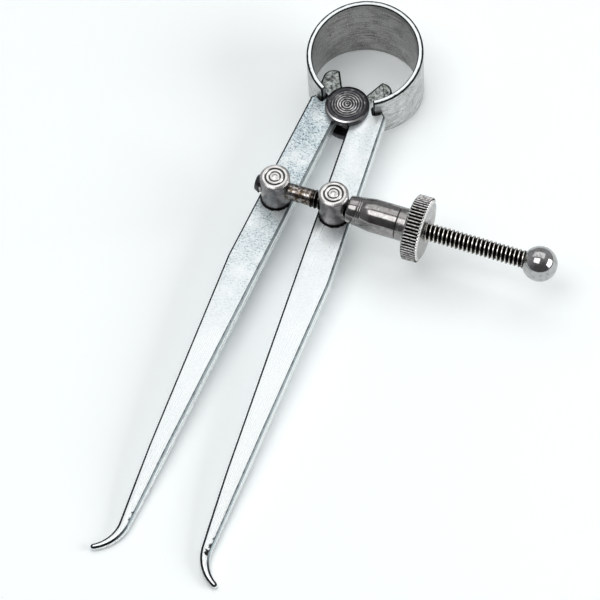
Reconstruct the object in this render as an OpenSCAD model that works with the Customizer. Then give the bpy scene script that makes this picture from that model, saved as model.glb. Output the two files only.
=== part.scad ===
// Inside spring caliper, lying flat: legs along -Y, cross screw along +X, millimetres.
// The origin is on the pivot axis, at the flat underside of the fulcrum stud.

/* [Legs] */
// Pivot axis to the end of a foot
leg_l = 100; // [94:1:115]
// Thickness of both legs
leg_t = 3.3; // [3:0.1:3.7]
// Half of the spread over the two tips at rest
tip_x = 11.25; // [9.75:0.25:13]
// Half of the gap between the legs at the pivot
gap_x = 1.2; // [1:0.05:1.5]
// Half width over the shoulders below the bow spring
shoulder_x = 7.35; // [7.1:0.05:7.8]
// Half width over the knees, the widest place of the legs
knee_x = 9.75; // [9.25:0.05:10.5]
// Pivot axis to the knee
knee_y = 37; // [33:1:42]
// Inner edge of a leg at the ankle, from the middle
ankle_x = 6.15; // [5.75:0.05:6.5]
// Width of a leg at the ankle
ankle_w = 2.7; // [2.4:0.05:3]
// Length of a foot below the ankle
foot_l = 14; // [13:0.5:15]
// Radius of the hollow side of a foot
arch_r = 5.9; // [5.4:0.1:6.4]
// Radius of the outer curve of a foot
heel_r = 7.85; // [7.4:0.05:8.3]
// Radius of the rounded end of a foot
tip_r = 0.55; // [0.45:0.05:0.65]
// Thickness of a foot at its end
tip_t = 1.1; // [0.9:0.1:1.4]
// Rise of a foot's underside towards its end
tip_z = 0.75; // [0.6:0.05:0.9]
// Length of the end of a leg that thins
thin_l = 22; // [20:0.5:24]

/* [Heads of the legs] */
// Lean of the inner edge of an ear, from straight up
ear_a = 26.5; // [25.5:0.25:28]
// Centre of the rounded ear, from the middle
ear_x = 4.6; // [4.45:0.05:4.75]
// Centre of the rounded ear, behind the pivot
ear_y = 5.4; // [5.1:0.05:5.7]
// Radius of the rounded ear
ear_r = 2.2; // [2.05:0.05:2.3]
// Top of the shoulder, behind the pivot
shoulder_y = 1; // [0.9:0.05:1.15]

/* [Bow spring] */
// Inside diameter of the spring ring
spring_d = 19.8; // [19.5:0.1:20.2]
// Thickness of the spring band
spring_t = 1.05; // [0.8:0.05:1.2]
// Width of the band at the back of the ring
spring_w = 15; // [13:0.5:17]
// Width of the band at its ends
spring_end_w = 9.4; // [8:0.2:11]
// Centre of the ring, behind the pivot
spring_y = 10.05; // [9.95:0.05:10.2]
// Half angle of the band, from the back of the ring
spring_a = 152; // [150:0.5:153]

/* [Fulcrum stud] */
// Diameter of the core that the heads ride on
core_d = 4.4; // [4:0.1:4.8]
// Diameter of the flanges
flange_d = 8.25; // [7.6:0.05:8.6]
// Thickness of a flange
flange_t = 1.4; // [1.1:0.1:1.8]

/* [Posts] */
// Pivot axis to the posts, along the legs
post_y = 22.57; // [21:0.01:24]
// Diameter of a post
post_d = 5.55; // [5.2:0.05:5.8]
// Height of a post above the leg
post_h = 7; // [6.8:0.1:7.6]
// Diameter of the stem through the leg
stem_d = 3.2; // [2.8:0.1:3.6]
// Diameter of the riveted head under the leg
rivet_d = 4.6; // [4.2:0.1:5]
// Height of the riveted head
rivet_h = 0.6; // [0.4:0.1:0.9]

/* [Cross screw] */
// Height of the screw axis above the leg
screw_h = 3.3; // [3.25:0.05:3.4]
// Outside diameter of the thread
screw_d = 3.5; // [3.3:0.05:3.7]
// Pitch of the thread
pitch = 0.794; // [0.75:0.001:0.85]
// Diameter of the plain shank
shank_d = 3.1; // [2.9:0.05:3.2]
// Start of the thread, from the middle
thread_x = 1.3; // [0.9:0.1:1.8]
// Diameter of the peened end outside the left post
peen_d = 3.7; // [3.4:0.05:4]
// Length of the peened end
peen_l = 0.9; // [0.7:0.1:1.2]
// Diameter of the neck that the ball is pressed on
neck_d = 2.2; // [2:0.05:2.4]
// Depth of the neck in the ball
neck_l = 3; // [2.6:0.1:3.4]
// Flat of the ball, from the middle
ball_x = 42.2; // [41.5:0.1:46]
// Diameter of the ball
ball_d = 6.5; // [6:0.1:6.6]

/* [Sleeve and nut] */
// Diameter of the sleeve's nose
nose_d = 4.9; // [4.7:0.1:5.3]
// Length of the sleeve's cone
nose_l = 4.6; // [4:0.1:5.2]
// Diameter of the sleeve and of the nut's hub
sleeve_d = 6.2; // [6:0.05:6.3]
// Length of the sleeve
sleeve_l = 9.6; // [9:0.1:10.2]
// Length of the nut's hub
hub_l = 2; // [1.6:0.1:2.4]
// Diameter over the knurl
knurl_d = 12.2; // [11.4:0.1:13]
// Width of the knurled rim
knurl_w = 3.3; // [3:0.1:3.8]
// Number of knurl teeth
knurl_n = 60; // [48:1:72]
// Depth of a knurl tooth
knurl_h = 0.32; // [0.2:0.02:0.4]

/* [Fits] */
// Radial play of a turning fit
run_clear = 0.05; // [0.03:0.01:0.08]
// Play between faces that slide on each other
face_clear = 0.03; // [0.02:0.01:0.05]
// Play of the spring's ends in the slots
slot_clear = 0.12; // [0.1:0.01:0.2]
// Gap between sleeve and post at rest
nose_gap = 0.1; // [0.08:0.01:0.14]

/* [Hidden] */
$fn = 96;
thread_n = 12;
z_bot = flange_t + face_clear;
z_top = z_bot + leg_t;
z_mid = z_bot + leg_t / 2;
screw_z = z_top + screw_h;
post_top = z_top + post_h;
ring_r = spring_d / 2;
ring_ro = ring_r + spring_t;
seat_r = core_d / 2 + run_clear;
bore_r = screw_d / 2 + run_clear;
press_clear = 0.01;
bevel = 0.4;
ring_c = [0, spring_y];
ankle_y = leg_l - foot_l;
in_a = atan((ankle_x - gap_x) / ankle_y);
out_a = atan((knee_x - ankle_x - ankle_w) / (ankle_y - knee_y));
in_p = [gap_x, 0];
in_u = [sin(in_a), -cos(in_a)];
in_n = [cos(in_a), sin(in_a)];
out_p = [knee_x, -knee_y];
out_u = [-sin(out_a), -cos(out_a)];
out_n = [cos(out_a), -sin(out_a)];
tip_s = tip_x / leg_l;
tip_c = (leg_l - tip_r) * [tip_s, -sqrt(1 - tip_s * tip_s)];
heel_w = in_p + heel_r * in_n - tip_c;
heel_c = in_p + heel_r * in_n + along(heel_w, in_u, heel_r - tip_r) * in_u;
arch_w = out_p + arch_r * out_n - tip_c;
arch_c = out_p + arch_r * out_n + along(arch_w, out_u, arch_r + tip_r) * out_u;
heel_p = heel_c - heel_r * in_n;
arch_p = arch_c - arch_r * out_n;
thin_y = leg_l - thin_l;
thin_p = [(gap_x + thin_y * tan(in_a) + knee_x - (thin_y - knee_y) * tan(out_a)) / 2, -thin_y];
shoulder_c = 0.55;
neck_y = shoulder_y - shoulder_c;
post_in = gap_x + post_y * tan(in_a);
post_out = shoulder_x + (knee_x - shoulder_x) * (post_y + neck_y) / (knee_y + neck_y);
post_x = (post_in + post_out) / 2;
nose_x = post_x + post_d / 2 + nose_gap;
seam_x = nose_x + sleeve_l;
hub_x = seam_x + face_clear;
knurl_x = hub_x + hub_l;
stub_x = post_x + post_d / 2 + face_clear;
ball_r = ball_d / 2;
ball_c = ball_x + sqrt(ball_r * ball_r - (screw_d / 2 + 0.1) * (screw_d / 2 + 0.1));
root_r = screw_d / 2 - 0.54 * pitch;
thread_end = ball_x - pitch - 0.3;
turns = floor((ball_x - face_clear - thread_x) / pitch) - 1;

function along(w, u, k) = -(w * u) - sqrt((w * u) * (w * u) - w * w + k * k);
function dir(a) = [sin(a), cos(a)];
function ear(y) = 0.42 + y * tan(ear_a);
function screw_p(a, r, x) = [x, r * cos(a), r * sin(a)];

// A turned piece on the cross screw's axis, starting at x
module on_screw(x) {
    translate([x, -post_y, screw_z]) rotate([0, 90, 0]) children();
}

// Everything of a sector that lies outside a circle
module outside(c, r, pts) {
    difference() {
        polygon(pts);
        translate(c) circle(r);
    }
}

// Sector that the spring's end takes out of a head
module slot_2d() {
    a = spring_a + 0.4;
    intersection() {
        translate(ring_c) difference() {
            circle(ring_ro + slot_clear);
            circle(ring_r - slot_clear);
        }
        polygon([ring_c, ring_c + 30 * dir(a), ring_c + 30 * dir(130), ring_c + 30 * dir(105)]);
    }
}

// Outline of a leg: a cornered blank, cut back to its curves, seat, slot and post hole
module leg_2d() {
    e = (tip_c - heel_c) / norm(tip_c - heel_c);
    t = [-e[1], e[0]];
    b = tip_c + 1.5 * (arch_c - tip_c) / norm(arch_c - tip_c);
    k = heel_c + 1.25 * heel_r * (e - in_n) / norm(e - in_n);
    top = ear_y + ear_r + 1;
    side = ear_x + ear_r - 0.03;
    difference() {
        polygon([in_p, [ear(1.2), 1.2], [ear(top), top], [side, top], [side, shoulder_y],
            [shoulder_x, neck_y], out_p, arch_p, b, b + 2 * t, tip_c + 1.5 * e + 2 * t, k, heel_p]);
        translate(arch_c) circle(arch_r);
        outside(heel_c, heel_r, [heel_c, heel_c - 16 * in_n, heel_c + 16 * (e - in_n), heel_c + 16 * e]);
        outside(tip_c, tip_r, [heel_c, heel_c + 16 * e, heel_c + 16 * e + 8 * t, heel_c + 8 * t]);
        outside([ear_x, ear_y], ear_r, [[0, ear_y], [9, ear_y], [9, top + 1], [0, top + 1]]);
        circle(seat_r);
        slot_2d();
        translate([post_x, -post_y]) circle(stem_d / 2 + run_clear);
    }
}

// Wedge that thins a leg towards its end by drop, above (s = 1) or below (s = -1)
module foot_wedge(s, drop) {
    d = tip_c - thin_p;
    k = drop / norm(d);
    h = leg_t / 2;
    translate([thin_p[0], thin_p[1], z_mid]) rotate([0, 0, atan2(d[1], d[0])])
        translate([0, 10, 0]) rotate([90, 0, 0]) linear_extrude(20)
            polygon([[-1, s * (h + k)], [norm(d) + 3, s * (h - k * (norm(d) + 3))],
                [norm(d) + 3, s * (h + 3)], [-1, s * (h + 3)]]);
}

module leg() {
    difference() {
        translate([0, 0, z_bot]) linear_extrude(leg_t) leg_2d();
        foot_wedge(1, leg_t - tip_t - tip_z);
        foot_wedge(-1, tip_z);
    }
}

module left_leg() {
    color("silver") mirror([1, 0, 0]) leg();
}

module right_leg() {
    color("silver") leg();
}

module bow_spring() {
    y_back = spring_y + ring_ro;
    y_end = spring_y + ring_ro * cos(spring_a);
    slope = (spring_w - spring_end_w) / 2 / (y_back - y_end);
    w0 = spring_end_w / 2 - slope * 2;
    w1 = spring_w / 2 + slope;
    color("gray") difference() {
        intersection() {
            translate([0, spring_y, z_mid - spring_w]) difference() {
                cylinder(r = ring_ro, h = 2 * spring_w);
                translate([0, 0, -1]) cylinder(r = ring_r, h = 2 * spring_w + 2);
            }
            translate([-20, 0, z_mid]) rotate([90, 0, 90]) linear_extrude(40)
                polygon([[y_end - 2, -w0], [y_back + 1, -w1], [y_back + 1, w1], [y_end - 2, w0]]);
        }
        translate([0, 0, z_mid - spring_w]) linear_extrude(2 * spring_w)
            polygon([ring_c, ring_c + 30 * dir(spring_a), ring_c + 40 * dir(180),
                ring_c + 30 * dir(-spring_a)]);
    }
}

// Corners of a V groove of depth d at radius r, in a turned face at height z
function groove(r, z, d) = [[r + d, z], [r, z - d], [r - d, z]];

module fulcrum_stud() {
    r = flange_d / 2;
    top = z_top + face_clear + flange_t;
    color("dimgray") rotate_extrude()
        polygon(concat([[0, 0], [r - bevel / 2, 0], [r, bevel / 2], [r, flange_t], [core_d / 2, flange_t],
            [core_d / 2, z_top + face_clear], [r, z_top + face_clear], [r, top - bevel], [r - bevel, top]],
            groove(0.7 * r, top, 0.12), groove(0.5 * r, top, 0.12), groove(0.33 * r, top, 0.12),
            [[0.16 * r, top], [0.08 * r, top + 0.2], [0, top + 0.2]]));
}

// Swivel post with its stem and riveted head, cross bore of radius b
module post(b) {
    r = post_d / 2;
    low = z_bot - face_clear;
    difference() {
        rotate_extrude()
            polygon(concat([[0, low - rivet_h], [rivet_d / 2 - bevel / 2, low - rivet_h],
                [rivet_d / 2, low - rivet_h + bevel / 2], [rivet_d / 2, low], [stem_d / 2, low],
                [stem_d / 2, z_top + face_clear], [r, z_top + face_clear], [r, post_top - bevel],
                [r - bevel, post_top]], groove(0.62 * r, post_top, 0.14), groove(0.36 * r, post_top, 0.12),
                [[0.2 * r, post_top], [0.1 * r, post_top + 0.1], [0, post_top + 0.1]]));
        translate([-r - 1, 0, screw_z]) rotate([0, 90, 0]) cylinder(r = b, h = 2 * r + 2);
    }
}

module left_post() {
    color("gray") translate([-post_x, -post_y, 0]) post(shank_d / 2 + press_clear);
}

module right_post() {
    color("gray") translate([post_x, -post_y, 0]) post(bore_r);
}

// Helical thread of full turns with flat crests, closed by a ramp at each end
module thread() {
    n = thread_n;
    m = turns * n;
    r = screw_d / 2;
    pts = concat(
        [for (i = [0 : m + n]) screw_p(i * 360 / n, root_r, i * pitch / n)],
        [for (i = [0 : m]) screw_p(i * 360 / n, r, (i / n + 0.38) * pitch)],
        [for (i = [0 : m]) screw_p(i * 360 / n, r, (i / n + 0.56) * pitch)],
        [[0, 0, 0], [(turns + 1) * pitch, 0, 0]]);
    c = m + n + 1;
    e = c + m + 1;
    s = e + m + 1;
    faces = concat(
        [for (i = [0 : m - 1]) each [[i, i + 1, c + i], [i + 1, c + i + 1, c + i],
            [c + i, c + i + 1, e + i], [c + i + 1, e + i + 1, e + i],
            [e + i, e + i + 1, n + i], [e + i + 1, n + i + 1, n + i]]],
        [for (i = [0 : n - 1]) each [[s, i + 1, i], [s + 1, m + i, m + i + 1]]],
        [[s, 0, c], [s, c, e], [s, e, n], [s + 1, m + n, e + m], [s + 1, e + m, c + m], [s + 1, c + m, m]]);
    translate([thread_x, -post_y, screw_z]) polyhedron(pts, [for (f = faces) [f[2], f[1], f[0]]]);
}

module adjusting_screw() {
    color("slategray") union() {
        thread();
        on_screw(-stub_x) cylinder(d = shank_d, h = stub_x + thread_x + pitch + 0.3);
        on_screw(-stub_x - peen_l) cylinder(d1 = shank_d, d2 = peen_d, h = peen_l);
        on_screw(thread_end) cylinder(d = shank_d, h = ball_x - thread_end);
        on_screw(thread_end) cylinder(d = neck_d, h = ball_x - thread_end + neck_l);
    }
}

module ball_end() {
    color("lightgray") on_screw(0) difference() {
        translate([0, 0, ball_c]) sphere(d = ball_d);
        translate([0, 0, ball_x - 5]) cylinder(d = ball_d + 2, h = 5);
        translate([0, 0, ball_x - 1]) cylinder(d = neck_d + 2 * press_clear, h = neck_l + 1.05);
    }
}

module tapered_sleeve() {
    r = sleeve_d / 2;
    color("dimgray") on_screw(nose_x) rotate_extrude()
        polygon([[bore_r, 0], [nose_d / 2, 0], [r, nose_l], [r, sleeve_l - 0.12], [r - 0.12, sleeve_l],
            [bore_r, sleeve_l]]);
}

module thumb_nut() {
    r = knurl_d / 2;
    h = sleeve_d / 2;
    k = knurl_h;
    tooth = 360 / knurl_n;
    color("dimgray") difference() {
        union() {
            on_screw(hub_x) rotate_extrude()
                polygon([[0, 0], [h - 0.12, 0], [h, 0.12], [h, hub_l + 0.5], [0, hub_l + 0.5]]);
            on_screw(knurl_x) intersection() {
                linear_extrude(knurl_w)
                    polygon([for (i = [0 : knurl_n - 1]) each [
                        (r - k) * dir(i * tooth), (r - k) * dir((i + 0.2) * tooth),
                        r * dir((i + 0.45) * tooth), r * dir((i + 0.75) * tooth)]]);
                rotate_extrude()
                    polygon([[0, 0], [r - 0.35, 0], [r + 0.05, 0.4], [r + 0.05, knurl_w - 0.4],
                        [r - 0.35, knurl_w], [0, knurl_w]]);
            }
        }
        on_screw(hub_x - 1) cylinder(r = bore_r, h = hub_l + knurl_w + 2);
    }
}

bow_spring();
left_leg();
right_leg();
fulcrum_stud();
left_post();
right_post();
adjusting_screw();
ball_end();
tapered_sleeve();
thumb_nut();
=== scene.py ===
"""Looks of the inside spring caliper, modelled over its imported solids, in metres."""
import math
from functools import partial
from types import SimpleNamespace

import bpy
from mathutils import Matrix, Vector


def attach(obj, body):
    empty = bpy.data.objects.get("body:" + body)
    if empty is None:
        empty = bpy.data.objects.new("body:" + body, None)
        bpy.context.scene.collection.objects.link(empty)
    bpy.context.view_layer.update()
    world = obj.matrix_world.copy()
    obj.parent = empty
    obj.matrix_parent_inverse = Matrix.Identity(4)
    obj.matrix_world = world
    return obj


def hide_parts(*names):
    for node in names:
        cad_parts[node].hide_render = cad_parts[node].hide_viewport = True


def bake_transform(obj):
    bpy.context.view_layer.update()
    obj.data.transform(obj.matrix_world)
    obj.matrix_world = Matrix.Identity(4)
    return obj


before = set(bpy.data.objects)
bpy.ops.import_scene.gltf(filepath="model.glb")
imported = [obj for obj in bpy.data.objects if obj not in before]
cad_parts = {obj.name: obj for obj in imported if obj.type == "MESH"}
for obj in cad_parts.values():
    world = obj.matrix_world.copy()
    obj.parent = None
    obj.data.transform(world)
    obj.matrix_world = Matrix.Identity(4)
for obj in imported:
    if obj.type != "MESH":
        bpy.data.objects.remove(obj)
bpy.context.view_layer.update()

bl_info = {
    "name": "Inside spring caliper",
    "version": (1, 0, 0),
    "blender": (4, 5, 0),
    "location": "View3D > Sidebar > Caliper",
    "description": "Models the pieces of an inside spring caliper and a plain stage for them",
    "category": "Object",
}

MM = 0.001
PER_MM = 1000.0

# Clearances of a turning fit, between faces that meet, and between the right post and the sleeve
RUN = 0.05 * MM
FACE = 0.03 * MM
NOSE_GAP = 0.1 * MM

# The pin that holds the ball on the screw, and how much wider than the thread the ball's flat is
PIN_R = 1.1 * MM
PIN_L = 2.8 * MM
FLAT_RIM = 0.1 * MM

# Turns a piece that is made upright to lie along the screw
TO_X = (0, math.pi / 2, 0)

# Stains at the ankles: place and reach in millimetres
STAINS = (((8.15, -93.7, 3.67), 0.62), ((8.25, -92.5, 3.74), 0.45), ((8.35, -91.0, 3.83), 0.28),
          ((-6.75, -90.9, 3.85), 0.35), ((-6.85, -92.2, 3.76), 0.32))

# Shares of the radius and widths in millimetres of the rings on a post's top
POST_RINGS = ((0.62, 0.4), (0.36, 0.3))

# The floor touches the back of the bow spring and the tips of the feet, so it slopes against the frame,
# and a little light of its own lifts it to white
FLOOR_AT = (0, 21.0 * MM, -4.44 * MM)
FLOOR_SLOPE = 0.0545
FLOOR_SIZE = 6
FLOOR_LIFT = 0.13

# The way to the darkest side of the room, where the tool is seen from
ROOM_FRONT = (0.41, -0.91, 0.0)

# Lamps: name, place, aimed from, width, depth, radiance
LAMPS = (("ceiling_back", (-0.175, 0.38, 0.6), (0, 0, 1), 0.95, 0.58, 0.93),
         ("ceiling_front", (-0.15, -0.19, 0.6), (0, 0, 1), 0.44, 0.36, 2.75),
         ("window_right", (0.64, 0.06, 0.27), (0.92, 0.1, 0.38), 0.5, 0.34, 5.0))

# The camera, fitted to the photograph: turn, rise and roll in degrees, the place it looks at in the legs'
# middle plane, its distance from there, and its focal length in pixels of a picture of the given width
CAMERA_ANGLES = (24.19, 59.39, -4.61)
CAMERA_AIM = (5.579 * MM, -40.847 * MM)
CAMERA_AWAY = 584.283 * MM
CAMERA_FOCUS = 3239.185
PICTURE_WIDTH = 600
SENSOR_WIDTH = 36.0


def linear(code):
    """Linear colour of an sRGB hex value."""
    parts = [int(code[i:i + 2], 16) / 255 for i in (1, 3, 5)]
    return [c / 12.92 if c <= 0.04045 else ((c + 0.055) / 1.055) ** 2.4 for c in parts]


def length(name, mm, text):
    """A length that the user can change, given in millimetres."""
    return bpy.props.FloatProperty(
        name=name, description=text, default=mm * MM, min=0.0, precision=5,
        unit="LENGTH", subtype="DISTANCE")


def angle(name, degrees, text):
    """An angle that the user can change, given in degrees."""
    return bpy.props.FloatProperty(
        name=name, description=text, default=math.radians(degrees), unit="ROTATION", subtype="ANGLE")


def colour(name, code, text):
    """A colour that the user can change, given as an sRGB hex value."""
    return bpy.props.FloatVectorProperty(
        name=name, description=text, default=linear(code), min=0.0, max=1.0, size=3, subtype="COLOR")


class CaliperLegs(bpy.types.PropertyGroup):
    """Sizes of the two legs"""
    reach: length("Reach", 100, "Pivot axis to the end of a foot")
    thickness: length("Thickness", 3.3, "Thickness of a leg")
    edge: length("Edge rounding", 0.38, "Rounding of the long edges")
    tip_x: length("Tip", 11.25, "Half of the spread over the tips")
    gap_x: length("Gap", 1.2, "Half of the gap between the legs at the pivot")
    shoulder_x: length("Shoulder", 7.35, "Half width over the shoulders")
    shoulder_y: length("Shoulder height", 1, "Top of the shoulder behind the pivot")
    knee_x: length("Knee", 9.75, "Half width over the knees")
    knee_y: length("Knee place", 37, "Pivot axis to the knee")
    ankle_x: length("Ankle", 6.15, "Inner edge of a leg at the ankle")
    ankle_w: length("Ankle width", 2.7, "Width of a leg at the ankle")
    foot: length("Foot", 14, "Length of a foot below the ankle")
    arch_r: length("Arch", 5.9, "Radius of the hollow side of a foot")
    heel_r: length("Heel", 7.85, "Radius of the outer curve of a foot")
    tip_r: length("Tip radius", 0.55, "Radius of the rounded end of a foot")
    tip_t: length("Tip thickness", 1.1, "Thickness of a foot at its end")
    tip_z: length("Tip rise", 0.75, "Rise of a foot's underside towards its end")
    thin_l: length("Thinned length", 22, "Length of the end of a leg that thins")
    ear_x: length("Ear", 4.6, "Centre of the rounded ear, from the middle")
    ear_y: length("Ear height", 5.4, "Centre of the rounded ear behind the pivot")
    ear_r: length("Ear radius", 2.2, "Radius of the rounded ear")
    ear_lean: angle("Ear lean", 26.5, "Lean of the ear's inner edge")


class CaliperSpring(bpy.types.PropertyGroup):
    """Sizes of the bow spring"""
    inside: length("Inside radius", 9.9, "Inside radius of the ring")
    thickness: length("Thickness", 1.05, "Thickness of the band")
    width: length("Width", 15, "Width of the band at the back")
    end_width: length("End width", 9.4, "Width of the band at its ends")
    centre: length("Centre", 10.05, "Centre of the ring behind the pivot")
    half_angle: angle("Half angle", 152, "Half angle of the band from the back")
    edge: length("Edge rounding", 0.2, "Rounding of the band's edges")


class CaliperTurned(bpy.types.PropertyGroup):
    """Sizes of the stud and the posts"""
    core_r: length("Core", 2.2, "Radius of the stud's core")
    flange_r: length("Flange", 4.125, "Radius of the stud's flanges")
    flange_t: length("Flange thickness", 1.4, "Thickness of a flange")
    post_x: length("Post", 5.6622, "Post axis, from the middle")
    post_y: length("Post place", 22.57, "Pivot axis to the posts")
    post_r: length("Post radius", 2.775, "Radius of a post")
    post_h: length("Post height", 7, "Height of a post above the leg")
    stem_r: length("Stem", 1.6, "Radius of the stem through the leg")
    rivet_r: length("Rivet", 2.3, "Radius of the riveted head")
    rivet_h: length("Rivet height", 0.6, "Height of the riveted head")


class CaliperScrew(bpy.types.PropertyGroup):
    """Sizes of the cross screw, the ball, the sleeve and the nut"""
    height: length("Height", 3.3, "Screw axis above the leg")
    radius: length("Radius", 1.75, "Outside radius of the thread")
    pitch: length("Pitch", 0.794, "Pitch of the thread")
    shank_r: length("Shank", 1.55, "Radius of the plain shank")
    start: length("Thread start", 1.3, "Start of the thread, from the middle")
    ball_x: length("Ball flat", 42.2, "Flat of the ball, from the middle")
    ball_r: length("Ball radius", 3.25, "Radius of the ball")
    nose_r: length("Nose", 2.45, "Radius of the sleeve's nose")
    nose_l: length("Cone", 4.6, "Length of the sleeve's cone")
    sleeve_r: length("Sleeve", 3.1, "Radius of the sleeve and of the hub")
    sleeve_l: length("Sleeve length", 9.6, "Length of the sleeve")
    hub_l: length("Hub", 2, "Length of the nut's hub")
    knurl_r: length("Knurl", 6.1, "Radius over the knurl")
    knurl_w: length("Knurl width", 3.3, "Width of the knurled rim")
    knurl_h: length("Knurl depth", 0.32, "Depth of a tooth")
    teeth: bpy.props.IntProperty(
        name="Teeth", description="Teeth of the knurl", default=60, min=24, max=120)


class CaliperColours(bpy.types.PropertyGroup):
    """Colours of the finishes and of the stage"""
    # also laid on the band's outside in flecks, partly as painted highlight
    plating: colour("Plating", "#EBEFEF", "Bright plating of the legs")
    plating_dull: colour("Dull plating", "#DAE6E9", "Handled plating, blue and dull")
    plating_speck: colour("Plating specks", "#5A7280", "Specks where the plating has gone dark")
    filed: colour("Filed heads", "#C2C8C3", "Filed steel of the heads")
    # painted shade along the edges of legs and band, and the dark pits of the filed heads
    edge_shade_and_pits: colour("Leg edges", "#26292B", "Dark line along the edges of legs and band")
    # painted highlight on the right-hand edges of the legs
    edge_highlight: colour("Rubbed edges", "#8A9498", "Edges that the hand keeps bright")
    band: colour("Band", "#ABAAA9", "Rolled spring steel")
    band_line: colour("Band lines", "#6E6D6C", "Darker rolling lines of the spring steel")
    turned: colour("Turned steel", "#9A9796", "Turned steel of sleeve and nut")
    post: colour("Posts", "#848182", "Dull sides of the posts")
    # also the colour of the painted highlights on the stud and of the painted sheen on the post tops
    bright: colour("Bright steel", "#E2E0DE", "Turned steel that is rubbed bright")
    dark: colour("Dark steel", "#48484B", "Blackened face of the stud")
    worn: colour("Worn steel", "#B9B6B5", "Bare steel of the shank")
    # also the colour of the painted shade at the feet of the posts and round them on the legs
    oil: colour("Oiled root", "#14110F", "Old oil in the thread and the knurl")
    crest: colour("Crest", "#E6E2DC", "Rubbed crests of the thread")
    film: colour("Oil film", "#514436", "Brown film of oil on the shank")
    ball: colour("Ball", "#B5B5B4", "Polished ball")
    floor: colour("Floor", "#F6FAFA", "Pale floor")
    room: colour("Room", "#A9AAAC", "Grey room that the metal mirrors")
    room_dark: colour("Dark room", "#5E5E60", "Darkest side of the room")


class CaliperSettings(bpy.types.PropertyGroup):
    """All settings of the caliper"""
    legs: bpy.props.PointerProperty(type=CaliperLegs)
    spring: bpy.props.PointerProperty(type=CaliperSpring)
    turned: bpy.props.PointerProperty(type=CaliperTurned)
    screw: bpy.props.PointerProperty(type=CaliperScrew)
    colours: bpy.props.PointerProperty(type=CaliperColours)


def settings():
    return bpy.context.scene.caliper


def levels():
    """Heights that all pieces share: bottom, middle and top of the legs, and the screw's axis."""
    s = settings()
    bottom = s.turned.flange_t + FACE
    top = bottom + s.legs.thickness
    return SimpleNamespace(bottom=bottom, middle=(bottom + top) / 2, top=top, axis=top + s.screw.height)


def stations():
    """Places along the screw: nose and seam of the sleeve, hub and rim of the nut, and the ball's centre."""
    s, t = settings().screw, settings().turned
    nose = t.post_x + t.post_r + NOSE_GAP
    seam = nose + s.sleeve_l
    hub = seam + FACE
    ball = s.ball_x + math.sqrt(s.ball_r ** 2 - (s.radius + FLAT_RIM) ** 2)
    return SimpleNamespace(nose=nose, seam=seam, hub=hub, rim=hub + s.hub_l, ball=ball)


def on_screw():
    """The point of the screw's axis that is in the middle between the posts."""
    return 0, -settings().turned.post_y, levels().axis


def clamp(value):
    return min(max(value, 0), 1)


# Modelling


def deselect():
    if bpy.context.mode != "OBJECT":
        bpy.ops.object.mode_set(mode="OBJECT")
    bpy.ops.object.select_all(action="DESELECT")


def only(made):
    deselect()
    made.select_set(True)
    bpy.context.view_layer.objects.active = made


def edit(made):
    """Edit mode on one object with all of its mesh selected."""
    only(made)
    bpy.ops.object.mode_set(mode="EDIT")
    bpy.ops.mesh.select_mode(type="VERT")
    bpy.ops.mesh.select_all(action="SELECT")


def pick(made, points=(), edges=()):
    """Edit mode on one object with only these points selected, or the edges between these pairs of points."""
    only(made)
    pairs = {frozenset(pair) for pair in edges}
    for v in made.data.vertices:
        v.select = v.index in points
    for e in made.data.edges:
        e.select = frozenset(e.vertices) in pairs
    for f in made.data.polygons:
        f.select = False
    bpy.ops.object.mode_set(mode="EDIT")
    bpy.ops.mesh.select_mode(type="EDGE" if pairs else "VERT")


def close(made):
    """Merges seams and poles, drops what they leave, and turns the faces outwards."""
    edit(made)
    bpy.ops.mesh.remove_doubles(threshold=1e-6)
    bpy.ops.mesh.dissolve_degenerate(threshold=1e-7)
    bpy.ops.mesh.delete_loose()
    bpy.ops.mesh.select_all(action="SELECT")
    bpy.ops.mesh.normals_make_consistent(inside=False)
    bpy.ops.object.mode_set(mode="OBJECT")


def settle(made):
    """Takes an object's place, turn and scale into its mesh."""
    only(made)
    bpy.ops.object.transform_apply(location=True, rotation=True, scale=True)


def place(made, points):
    made.data.vertices.foreach_set("co", [c for p in points for c in p])
    made.data.update()


def shaped(name, points):
    """Names the primitive that was just added, and moves its points."""
    made = bpy.context.object
    made.name = made.data.name = name
    place(made, points)
    return made


def loop(name, points):
    """A new object that is one closed loop of edges through the points."""
    deselect()
    bpy.ops.mesh.primitive_circle_add(vertices=len(points), radius=MM, fill_type="NOTHING")
    return shaped(name, points)


def sheet(name, rows):
    """A new object that is a net of faces over rows of points, all of one length."""
    deselect()
    bpy.ops.mesh.primitive_grid_add(x_subdivisions=len(rows[0]) - 1, y_subdivisions=len(rows) - 1, size=MM)
    return shaped(name, [p for row in rows for p in row])


def meet(start, way, centre, radius, side=1):
    """Where a line through start leaves a circle, or with a side of -1 where it enters it."""
    off = start - centre
    run = off.dot(way)
    return start + way * (-run + side * math.sqrt(run * run - off.dot(off) + radius * radius))


def arc(centre, radius, first, last, steps):
    """Points of an arc, ends included, the short way from one direction to the other."""
    begin = math.atan2(first.y, first.x)
    turn = (math.atan2(last.y, last.x) - begin + math.pi) % math.tau - math.pi
    bearings = [begin + turn * k / steps for k in range(steps + 1)]
    return [centre + radius * Vector((math.cos(a), math.sin(a))) for a in bearings]


def rounded(corners, steps=4):
    """A closed outline from corners (x, y, radius), with an arc in place of each corner that has a radius."""
    out = []
    for i, (x, y, r) in enumerate(corners):
        p = Vector((x, y))
        if not r:
            out.append(p)
            continue
        a = Vector(corners[i - 1][:2]) - p
        b = Vector(corners[(i + 1) % len(corners)][:2]) - p
        half = a.angle(b) / 2
        cut = min(r / math.tan(half), 0.49 * a.length, 0.49 * b.length)
        r = cut * math.tan(half)
        a.normalize()
        b.normalize()
        centre = p + (a + b).normalized() * (r / math.sin(half))
        out += arc(centre, r, p + a * cut - centre, p + b * cut - centre, steps)
    return out


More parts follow.
